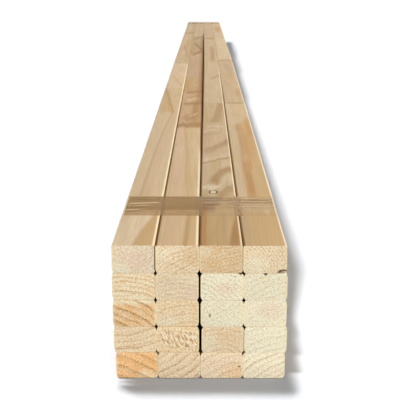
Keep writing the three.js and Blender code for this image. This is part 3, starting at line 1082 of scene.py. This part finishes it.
# Chips broken out of front ends: the stud, the face, and in metres the distance of the hollow's
# middle from the right side, its half width, half height and depth.
CHIPS = [
    ((1, 4), -1, 3.6 * MM, 4.2 * MM, 2.9 * MM, 26 * MM),
    ((2, 4), 1, 21.4 * MM, 1.8 * MM, 1.5 * MM, 5 * MM),
    ((2, 3), 1, 3.4 * MM, 1.6 * MM, 1.0 * MM, 4 * MM),
]
RAGGED = 0.09               # how uneven a chip is, as a share of its size

ARRIS_PROFILE = 0.38        # how full the curve of a worn arris is
ROUND = 0.5                 # and that of a rounded edge
END_REACH = 10 * MM         # a stud's last vertices lie within this of its rear end
MOSTLY = 0.9                # an edge that runs this much along an axis runs along it


def runs(edge, axis):
    run = edge.verts[1].co - edge.verts[0].co
    return abs(run[axis]) > MOSTLY * run.length


def round_over(radius, facets, profile):
    bpy.ops.mesh.bevel(offset=radius, segments=facets, profile=profile, affect="EDGES")


def stud_blank(stud, settings):
    """The stick that the studs of a row are copied from: rounded arrises and worn end edges."""
    stretch = settings.arris_stretch
    facets = settings.arris_facets
    top_row = stud.row == 1
    deselect()
    bpy.ops.mesh.primitive_cube_add(
        size=1.0, location=(0, stud.length / 2, 0),
        scale=(stud.width + settings.swelling, stud.length, stud.thickness / stretch))
    blank = bpy.context.active_object
    blank.name = "stud_blank"
    apply_place(blank)
    edit(blank)
    pick(blank, "edges", lambda e: runs(e, Y) and not (top_row and e.verts[0].co.z > 0))
    round_over(settings.arris, facets, ARRIS_PROFILE)
    bpy.ops.mesh.select_all(action="SELECT")
    bpy.ops.transform.resize(value=(1, 1, stretch), center_override=(0, 0, 0))
    if top_row:
        top = stud.thickness / 2 - SNAP
        for side, radius in ((1, settings.worn_arris), (-1, settings.sharp_arris)):
            pick(blank, "edges", lambda e: runs(e, Y) and e.verts[0].co.z > top
                 and e.verts[0].co.x * side > 0)
            round_over(radius, facets, ROUND)
    for end in (0, stud.length):
        pick(blank, "edges", lambda e: runs(e, X)
             and all(abs(v.co.y - end) < SNAP for v in e.verts))
        round_over(settings.easing, 2, ROUND)
    for distance, _ in stud.stations[1:-1]:
        cut_across((0, distance, 0), (0, 1, 0))
    bpy.ops.object.mode_set(mode="OBJECT")
    return blank


def bow(piece, stud):
    """Shifts each station of a straight stud across, to the line that the CAD stud takes."""
    edit(piece)
    for distance, middle in stud.stations[1:-1]:
        pick(piece, "verts", lambda v: abs(v.co.y - distance) < SNAP)
        bpy.ops.transform.translate(value=(middle - stud.middle_x, 0, 0))
    distance, middle = stud.stations[-1]
    pick(piece, "verts", lambda v: v.co.y > distance - END_REACH)
    bpy.ops.transform.translate(value=(middle - stud.middle_x, 0, 0))
    bpy.ops.object.mode_set(mode="OBJECT")


def break_out(piece, stud, chip, seed):
    """Cuts a ragged hollow out of a front end's edge."""
    _, side, from_right, half_width, half_height, depth = chip
    deselect()
    bpy.ops.mesh.primitive_ico_sphere_add(subdivisions=3, radius=1.0)
    hollow = bpy.context.active_object
    edit(hollow)
    bpy.ops.mesh.select_all(action="SELECT")
    bpy.ops.transform.vertex_random(offset=RAGGED, uniform=1.0, seed=seed)
    bpy.ops.object.mode_set(mode="OBJECT")
    hollow.scale = (half_width, depth, half_height)
    hollow.location = (stud.middle_x + stud.width / 2 - from_right, stud.front,
                       stud.middle_z + side * stud.thickness / 2)
    apply_place(hollow)
    activate(piece)
    cut = piece.modifiers.new("chip", "BOOLEAN")
    cut.operation = "DIFFERENCE"
    cut.solver = "EXACT"
    cut.object = hollow
    bpy.ops.object.modifier_apply(modifier="chip")
    remove(hollow)
    if not piece.data.polygons:
        raise RuntimeError(piece.name + " was cut away whole")


SLOTS = {
    "pine_honey": {(1, 1), (1, 2), (1, 4), (2, 1), (2, 2), (3, 2), (4, 1), (5, 2), (5, 3)},
    "pine_resinous": {(1, 3), (3, 1), (4, 2), (4, 3), (5, 1)},
}


def slot_of(stud):
    for slot, places in SLOTS.items():
        if (stud.row, stud.column) in places:
            return slot
    return "pine_pale"


class BUNDLE_OT_studs(bpy.types.Operator):
    """Lay the studs in their rows"""

    bl_idname = "bundle.studs"
    bl_label = "Pine studs"

    def execute(self, context):
        settings = context.scene.stud_settings
        studs = [Stud(1 + place // COLUMNS, 1 + place % COLUMNS) for place in range(ROWS * COLUMNS)]
        blanks = {row: stud_blank(studs[COLUMNS * (row - 1)], settings) for row in (1, 2)}
        for stud in studs:
            piece = copy_of(blanks[min(stud.row, 2)], stud.name)
            bow(piece, stud)
            piece.location = (stud.middle_x, stud.front, stud.middle_z)
            apply_place(piece)
            for number, chip in enumerate(CHIPS):
                if chip[0] == (stud.row, stud.column):
                    break_out(piece, stud, chip, number)
            finish_piece(piece, pine_material(stud, settings), slot_of(stud), stud.node)
        for blank in blanks.values():
            remove(blank)
        return {"FINISHED"}


# ---------------------------------------------------------------------------- the tape


FILM_ROW = 1.5 * MM         # spacing of the film's vertices along the bundle
FILM_COLUMN = 8 * MM        # and round it
INNER_TURN = 0.17 * MM      # how far the first turn lies inside the band's outer skin
OUTER_TURN = 0.09 * MM      # and the second
MERGE = 1e-6                # the CAD band's vertices nearer than this are one
WRINKLE_SIZE = (70 * MM, 4 * MM, 70 * MM)
WRINKLE_SHIFT = (0.11, 0.013, 0.07)     # keeps the wrinkles of one turn apart from the next
OUTER_SEED = 5


def outer_skin(node, name):
    """A copy of a CAD band's outer wall, merged and open at both edges."""
    skin = copy_of(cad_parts[node], name)
    skin.hide_render = False
    for key in list(skin.keys()):
        del skin[key]
    edit(skin)
    bpy.ops.mesh.select_all(action="SELECT")
    bpy.ops.mesh.remove_doubles(threshold=MERGE)
    low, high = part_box(node)
    centre_x, centre_z = (low.x + high.x) / 2, (low.z + high.z) / 2

    def not_outer(face):
        middle = face.calc_center_median()
        outward = face.normal.x * (middle.x - centre_x) + face.normal.z * (middle.z - centre_z)
        return abs(face.normal.y) > 0.5 or outward < 0

    pick(skin, "faces", not_outer)
    bpy.ops.mesh.delete(type="FACE")
    return skin


def wrinkled(skin, settings, seed):
    """Lifts the film into wrinkles that run round the bundle."""
    deselect()
    bpy.ops.object.empty_add(location=[shift * seed for shift in WRINKLE_SHIFT])
    measure = bpy.context.active_object
    measure.scale = WRINKLE_SIZE
    cloud = bpy.data.textures.new("wrinkles", "CLOUDS")
    cloud.noise_scale = 1.0
    cloud.noise_depth = 2
    activate(skin)
    lift = skin.modifiers.new("wrinkles", "DISPLACE")
    lift.texture = cloud
    lift.texture_coords = "OBJECT"
    lift.texture_coords_object = measure
    lift.strength = settings.wrinkle
    lift.mid_level = 0.5
    bpy.context.view_layer.update()
    bpy.ops.object.modifier_apply(modifier="wrinkles")
    remove(measure)
    bpy.data.textures.remove(cloud)


def film_turn(node, name, settings, inset, front, slant, seed):
    """One turn of film round the stack, as a thin closed band that starts at a slanting edge."""
    skin = outer_skin(node, name)
    low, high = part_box(node)
    bpy.ops.mesh.select_all(action="SELECT")
    bpy.ops.transform.shrink_fatten(value=-inset)
    bpy.ops.mesh.bisect(
        plane_co=(0, low.y + front, 0), plane_no=(-slant, 1, 0), clear_inner=True)
    rows = int((high.y - low.y) / FILM_ROW)
    for row in range(1, rows):
        cut_across((0, low.y + row * FILM_ROW, 0), (0, 1, 0))
    for step in range(1, int((high.x - low.x) / FILM_COLUMN)):
        cut_across((low.x + step * FILM_COLUMN, 0, 0), (1, 0, 0))
    for step in range(1, int((high.z - low.z) / FILM_COLUMN)):
        cut_across((0, 0, low.z + step * FILM_COLUMN), (0, 0, 1))
    bpy.ops.object.mode_set(mode="OBJECT")
    wrinkled(skin, settings, seed)
    wall = skin.modifiers.new("wall", "SOLIDIFY")
    wall.thickness = settings.film
    wall.offset = -1.0
    activate(skin)
    bpy.ops.object.modifier_apply(modifier="wall")
    return skin


class BUNDLE_OT_tape(bpy.types.Operator):
    """Wind a band of clear tape round each end of the bundle"""

    bl_idname = "bundle.tape"
    bl_label = "Tape bands"

    def execute(self, context):
        settings = context.scene.tape_settings
        skew = settings.skew
        for seed, place in enumerate(("front", "rear"), start=1):
            node = "tape_band_" + place
            name = "clear_tape_" + place
            band = film_turn(node, name, settings, INNER_TURN, 0.0, -skew, seed)
            second = film_turn(node, "second_turn", settings, OUTER_TURN, settings.overlap, skew,
                               seed + OUTER_SEED)
            activate(band)
            second.select_set(True)
            bpy.ops.object.join()
            finish_piece(band, tape_material(place, settings), "clear_tape", node)
        return {"FINISHED"}


# Creases in the film over the top faces: tint, strength, in millimetres the place across, the
# reach across, the place along and the reach along, and how much it slants. The light creases are
# painted highlights on the folds.
CREASES = [
    ("light", 1.00, -64, 20, 144, 2.8, 0.14),
    ("light", 0.70, -66, 14, 134, 2.0, 0.10),
    ("light", 0.80, -76, 11, 118, 2.4, 0.20),
    ("brown", 0.80, -76, 10, 112, 3.0, 0.20),
    ("brown", 0.45, -70, 16, 127, 3.4, 0.04),
    ("brown", 0.35, -66, 24, 158, 3.4, 0.0),
    ("light", 0.25, -20, 24, 150, 2.4, 0.03),
    ("brown", 0.30, -22, 26, 128, 3.0, 0.0),
    ("haze", 0.70, 10, 14, 167, 7.0, 0.0),
    ("brown", 0.36, 13, 11, 163, 2.4, 0.02),
    ("haze", 0.60, 6, 12, 154, 6.0, 0.0),
    ("brown", 0.55, 8, 12, 138, 6.0, 0.06),
    ("brown", 0.40, 5, 10, 120, 16.0, 0.0),
    ("light", 0.65, 33, 15, 167, 2.8, 0.02),
    ("light", 0.70, 32, 15, 145, 2.8, 0.02),
    ("brown", 0.40, 31, 15, 156, 2.8, 0.01),
    ("light", 0.85, 61, 25, 162, 2.6, 0.01),
    ("brown", 0.65, 62, 26, 156, 2.2, 0.01),
    ("light", 0.85, 61, 25, 151, 2.4, 0.01),
    ("brown", 0.60, 62, 26, 145.5, 2.2, 0.01),
    ("light", 0.85, 61, 25, 140, 2.6, 0.01),
    ("light", 0.80, 60, 28, 129, 2.8, -0.02),
]

HIGHLIGHT_CREASE_COVER = 0.42   # how much of the wood a light crease hides
BROWN_CREASE_COVER = 0.34   # and one of any other tint

# Adhesive squeezed over the grooves between the top studs, left to right: its tint and cover.
SMEARS = [("smear", 0.36), ("smear", 0.46), ("pale_smear", 0.42)]
SMEAR_REACH = 3.4           # half its width, in millimetres
SMEAR_TINT = 0.7            # how strongly it tints the film


def tape_material(place, settings):
    """Clear film: browner where its adhesive is thick, hazy over the grooves, with long creases."""
    maker = Maker(bpy.data.materials.new("clear_tape_" + place))
    step = maker.step
    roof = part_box("tape_band_" + place)[1].z * TO_MM
    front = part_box("stud_row1_col1")[0].y
    x, y, z = maker.split(maker.node("ShaderNodeTexCoord").outputs["Object"])
    x, z = x * TO_MM, z * TO_MM
    along = (y - front) * TO_MM
    streak = maker.noise(x / 45.0, along / 2.0, z / 45.0)
    blotch = maker.noise(x / 26.0, along / 9.0, z / 26.0 + 3.0)
    left = step(x + blotch * 4.0, 4.0, -4.0)
    cover = maker.mix_value(left, settings.cover, settings.thick_cover)
    top = step(z, roof - 3.0, roof - 2.0)
    cover = (cover + blotch * 0.02 + streak * 0.03) * (top * 0.25 + 0.75)
    tint = maker.mix(left, settings.clear, settings.amber)
    # Light creases are painted highlights on the film's folds.
    creases = CREASES if place == "front" else []
    for name, strength, across, reach_x, distance, reach_s, slant in creases:
        off = (along + streak * 1.0 - distance - (x - across) * slant) / reach_s
        aside = (x - across) / reach_x
        crease = step(off * off, 1.0, 0.1) * step(aside * aside, 1.9, 0.2) * top
        hides = HIGHLIGHT_CREASE_COVER if name == "light" else BROWN_CREASE_COVER
        cover = maker.mix_value(crease * strength, cover, hides)
        tint = maker.mix(crease * strength, tint, getattr(settings, name))
    for across, (name, hides) in zip(SEAMS, SMEARS):
        smear = maker.window(x + blotch, across - SMEAR_REACH, across + SMEAR_REACH, 4.0) * top
        cover = maker.mix_value(smear, cover, hides)
        tint = maker.mix(smear * SMEAR_TINT, tint, getattr(settings, name))
    relief = streak * 0.6 + blotch * 0.4
    return maker.surface(
        tint, 0.35, 0.02, relief, 0.4, 0.2 * MM, Alpha=maker.clamped(cover))


# ---------------------------------------------------------------------------- the stage


def sun(name, direction, strength, softness, receivers):
    """A distant soft lamp that shines the opposite way to its direction, on some objects only."""
    lamp = bpy.data.objects.new(name, bpy.data.lights.new(name, "SUN"))
    lamp.data.energy = strength
    lamp.data.angle = math.radians(softness)
    lamp.rotation_mode = "QUATERNION"
    lamp.rotation_quaternion = Vector(direction).to_track_quat("Z", "Y")
    bpy.context.scene.collection.objects.link(lamp)
    group = bpy.data.collections.new(name + "_receivers")
    for obj in receivers:
        group.objects.link(obj)
    lamp.light_linking.receiver_collection = group


# The lamps on the bundle: the name, which way each stands from it, and its softness in degrees.
LAMPS = [
    ("key", (0.75, -0.53, 0.40), 12),
    ("top", (0.30, -0.30, 0.90), 60),
    ("rear", (-0.10, 0.95, 0.25), 40),
    ("left", (-0.95, -0.10, 0.30), 40),
]
FLOOR_FILL = (0.05, -0.3, 1.0)
FLOOR_FILL_SOFTNESS = 20
FLOOR_LAMP_SOFTNESS = 4.5

# The floor is laid in plots, each with soft lamps of its own that light nothing else: how far
# the plot reaches across and behind the front ends in metres, and how far each of its lamps leans
# aside and back for each metre up.
EDGE = 40.0
LEFT, RIGHT, ACROSS = (-EDGE, 0), (0, EDGE), (-EDGE, EDGE)
FLOOR_PLOTS = [
    ("floor_apron_left", LEFT, (-EDGE, -0.014), [(-0.03, 0.195), (-0.10, 0.235), (-0.18, 0.28)]),
    ("floor_skirt_left", LEFT, (-0.014, -0.005), [(-0.07, 0.20), (-0.20, 0.20), (-0.33, 0.20)]),
    ("floor_foot_left", LEFT, (-0.005, 0.012), [(-0.15, 0.15), (-0.40, 0.15), (-0.70, 0.15)]),
    ("floor_apron", RIGHT, (-EDGE, 0.012), [(-0.115, 0.195), (-0.09, 0.235), (-0.06, 0.28)]),
    ("floor_beside", ACROSS, (0.012, 0.05), [(-0.12, 0.20), (-0.155, 0.20)]),
    ("floor_near", ACROSS, (0.05, 0.095), [(-0.15, 0.20), (-0.195, 0.20)]),
    ("floor_next", ACROSS, (0.095, 0.15), [(-0.175, 0.20), (-0.21, 0.20)]),
    ("floor", ACROSS, (0.15, 1.8), [(-0.39, -2.13)]),
    ("floor_behind", ACROSS, (1.8, 2.5), [(-0.44, -2.5)]),
    ("floor_back", ACROSS, (2.5, 3.15), [(-0.51, -3.2)]),
    ("floor_far", ACROSS, (3.15, EDGE), [(-0.58, -3.0)]),
]

# Where the camera stands, how far it looks down and to the left in degrees, and its film.
CAMERA_PLACE = (4.15 * MM, -2503.6 * MM, 390.8 * MM)
CAMERA_DOWN = 16.17
CAMERA_LEFT = 0.35
CAMERA_FILM = 36.0          # in millimetres, like the lens
CAMERA_REACH = 200.0


def floor_material(settings):
    """A plain floor that looks nearly white and throws less light back on the bundle."""
    maker = Maker(bpy.data.materials.new("pale_floor"))
    felt, seen = [
        maker.node("ShaderNodeBsdfDiffuse", inputs={"Color": tint, "Roughness": 0.0})
        for tint in (settings.floor_bounce, settings.floor_colour)]
    rays = maker.node("ShaderNodeLightPath").outputs
    return maker.output(maker.node("ShaderNodeMixShader", inputs={
        0: rays["Is Camera Ray"], 1: felt.outputs[0], 2: seen.outputs[0]}))


class BUNDLE_OT_stage(bpy.types.Operator):
    """Lay the floor, hang the lamps and set up the camera"""

    bl_idname = "bundle.stage"
    bl_label = "Floor, light and camera"

    def execute(self, context):
        settings = context.scene.stage_settings
        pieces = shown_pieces()
        surface = floor_material(settings)
        floors = []
        for name, across, along, leans in FLOOR_PLOTS:
            floor = self.lay_floor(name, across, along, surface)
            for number, lean in enumerate(leans):
                direction = Vector((*lean, 1.0))
                strength = settings.floor_light * direction.length / len(leans)
                sun(f"{name}_light_{number}", direction, strength, FLOOR_LAMP_SOFTNESS, [floor])
            floors.append(floor)
        for name, direction, softness in LAMPS:
            sun(name + "_light", direction, getattr(settings, name), softness, pieces)
        sun("floor_fill", FLOOR_FILL, settings.floor_fill, FLOOR_FILL_SOFTNESS, floors)
        self.light_world(context, settings)
        self.place_camera(context, settings)
        context.scene.view_settings.view_transform = "Standard"
        return {"FINISHED"}

    @staticmethod
    def lay_floor(name, across, along, surface):
        """A plot from side to side and between two distances behind the front ends."""
        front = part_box("stud_row1_col1")[0].y
        deselect()
        bpy.ops.mesh.primitive_plane_add(
            size=1.0, location=(sum(across) / 2, front + sum(along) / 2, 0))
        floor = bpy.context.active_object
        floor.name = name
        floor.scale = (across[1] - across[0], along[1] - along[0], 1.0)
        apply_place(floor)
        floor.data.materials.append(surface)
        floor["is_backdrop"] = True
        return floor

    @staticmethod
    def light_world(context, settings):
        """Even light, brighter to the eye, in reflections and through the film."""
        maker = Maker(bpy.data.worlds.new("soft_studio"))
        rays = maker.node("ShaderNodeLightPath").outputs
        either = maker.maths("MAXIMUM", rays["Is Glossy Ray"], rays["Is Transmission Ray"])
        seen = maker.maths("MAXIMUM", rays["Is Camera Ray"], either)
        level = maker.node("ShaderNodeMapRange", inputs={
            "Value": seen, "To Min": settings.fill, "To Max": 1.0})
        context.scene.world = maker.output(maker.node("ShaderNodeBackground", inputs={
            "Color": (1, 1, 1, 1), "Strength": level.outputs[0]}), "World")

    @staticmethod
    def place_camera(context, settings):
        camera = bpy.data.objects.new("camera", bpy.data.cameras.new("camera"))
        camera.data.lens = settings.lens
        camera.data.sensor_width = CAMERA_FILM
        camera.data.clip_end = CAMERA_REACH
        camera.location = CAMERA_PLACE
        camera.rotation_euler = (math.radians(90 - CAMERA_DOWN), 0.0, math.radians(CAMERA_LEFT))
        context.scene.collection.objects.link(camera)
        context.scene.camera = camera


class BUNDLE_PT_panel(bpy.types.Panel):
    bl_idname = "BUNDLE_PT_panel"
    bl_label = "Stud bundle"
    bl_space_type = "VIEW_3D"
    bl_region_type = "UI"
    bl_category = "Stud bundle"

    def draw(self, context):
        for operator in OPERATORS:
            self.layout.operator(operator.bl_idname)


OPERATORS = (BUNDLE_OT_studs, BUNDLE_OT_tape, BUNDLE_OT_stage)
GROUPS = {
    "stud_settings": StudSettings,
    "tape_settings": TapeSettings,
    "stage_settings": StageSettings,
}


def register():
    for name, group in GROUPS.items():
        bpy.utils.register_class(group)
        setattr(bpy.types.Scene, name, bpy.props.PointerProperty(type=group))
    for made in (*OPERATORS, BUNDLE_PT_panel):
        bpy.utils.register_class(made)


def unregister():
    for made in (BUNDLE_PT_panel, *reversed(OPERATORS)):
        bpy.utils.unregister_class(made)
    for name, group in GROUPS.items():
        delattr(bpy.types.Scene, name)
        bpy.utils.unregister_class(group)


def main():
    register()
    bpy.ops.bundle.studs()
    bpy.ops.bundle.tape()
    bpy.ops.bundle.stage()


if __name__ == "__main__":
    main()
